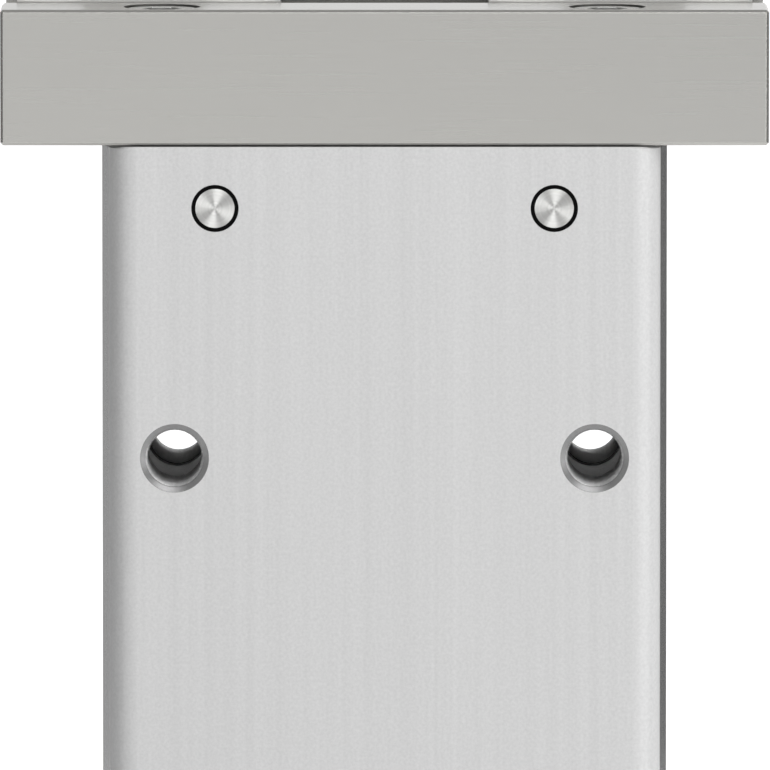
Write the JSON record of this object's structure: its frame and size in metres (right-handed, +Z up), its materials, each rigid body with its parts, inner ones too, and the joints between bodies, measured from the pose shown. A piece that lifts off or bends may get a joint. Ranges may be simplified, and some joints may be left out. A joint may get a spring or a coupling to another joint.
{
  "type": "parallel gripper",
  "caption": "Pneumatic parallel gripper: a block housing whose piston and bell-crank levers slide ball-guided finger jaws together and apart along a steel rail on top.",
  "frame": {"origin": "centre of the housing's base", "axes": "+X to the right along the jaws' travel, +Y to the back, +Z up towards the jaws"},
  "size_m": [0.0548, 0.0276, 0.0848],
  "materials": {
    "housing_aluminium": "clear anodised with a fine vertical grain",
    "guide_steel": "ground, satin",
    "jaw_steel": "ground, satin",
    "screw_steel": "plated",
    "shaft_steel": "turned, with fine rings on the end faces",
    "seal_rubber": "black",
    "bumper_rubber": "dark",
    "bearing_bronze": "sintered bronze",
    "ball_steel": "polished",
    "lever_steel": "hardened",
    "piston_aluminium": "turned",
    "rod_steel": "hard plated",
    "wear_plastic": "filled plastic",
    "magnet_plastic": "bonded magnet",
    "cap_aluminium": "turned",
    "clip_steel": "phosphated spring steel"
  },
  "bodies": {
    "housing": {"housing": "housing_aluminium", "guide_rail": "guide_steel", "guide_screws": "screw_steel", "lever_shaft_left": "shaft_steel", "lever_shaft_right": "shaft_steel", "shaft_seals": "seal_rubber", "rod_bush": "bearing_bronze", "rod_seal": "seal_rubber", "upper_bumper": "bumper_rubber", "lower_bumper": "bumper_rubber", "end_cap": "cap_aluminium", "end_cap_o_ring": "seal_rubber", "retaining_clip": "clip_steel"},
    "jaw_left": {"jaw_left": "jaw_steel", "ball_stops_left": "ball_steel"},
    "jaw_right": {"jaw_right": "jaw_steel", "ball_stops_right": "ball_steel"},
    "balls_left": {"balls_left": "ball_steel"},
    "balls_right": {"balls_right": "ball_steel"},
    "lever_left": {"lever_left": "lever_steel", "lever_bush_left": "bearing_bronze"},
    "lever_right": {"lever_right": "lever_steel", "lever_bush_right": "bearing_bronze"},
    "piston": {"piston": "piston_aluminium", "piston_rod": "rod_steel", "piston_bolt": "screw_steel", "centre_pin": "rod_steel", "wear_ring": "wear_plastic", "magnet_ring": "magnet_plastic", "piston_seal": "seal_rubber"}
  },
  "joints": [
    {"name": "jaw_left_slide", "type": "slide", "parent": "housing", "child": "jaw_left", "axis": [1, 0, 0], "range_m": [0, 0.005]},
    {"name": "jaw_right_slide", "type": "slide", "parent": "housing", "child": "jaw_right", "axis": [-1, 0, 0], "range_m": [0, 0.005]},
    {"name": "balls_left_roll", "type": "slide", "parent": "housing", "child": "balls_left", "axis": [1, 0, 0], "range_m": [0, 0.0025]},
    {"name": "balls_right_roll", "type": "slide", "parent": "housing", "child": "balls_right", "axis": [-1, 0, 0], "range_m": [0, 0.0025]},
    {"name": "lever_left_turn", "type": "hinge", "parent": "housing", "child": "lever_left", "pos_m": [-0.0121, 0, 0.0529], "axis": [0, 1, 0], "range_deg": [0, 30.52]},
    {"name": "lever_right_turn", "type": "hinge", "parent": "housing", "child": "lever_right", "pos_m": [0.0121, 0, 0.0529], "axis": [0, -1, 0], "range_deg": [0, 30.52]},
    {"name": "piston_slide", "type": "slide", "parent": "housing", "child": "piston", "axis": [0, 0, -1], "range_m": [0, 0.0066]}
  ],
  "couplings": [
    {"joint": "jaw_right_slide", "follows": "jaw_left_slide", "ratio": 1},
    {"joint": "balls_left_roll", "follows": "jaw_left_slide", "ratio": 0.5},
    {"joint": "balls_right_roll", "follows": "jaw_left_slide", "ratio": 0.5},
    {"joint": "lever_left_turn", "follows": "jaw_left_slide", "rad_per_m": 106.52},
    {"joint": "lever_right_turn", "follows": "jaw_left_slide", "rad_per_m": 106.52},
    {"joint": "piston_slide", "follows": "jaw_left_slide", "ratio": 1.3202}
  ]
}
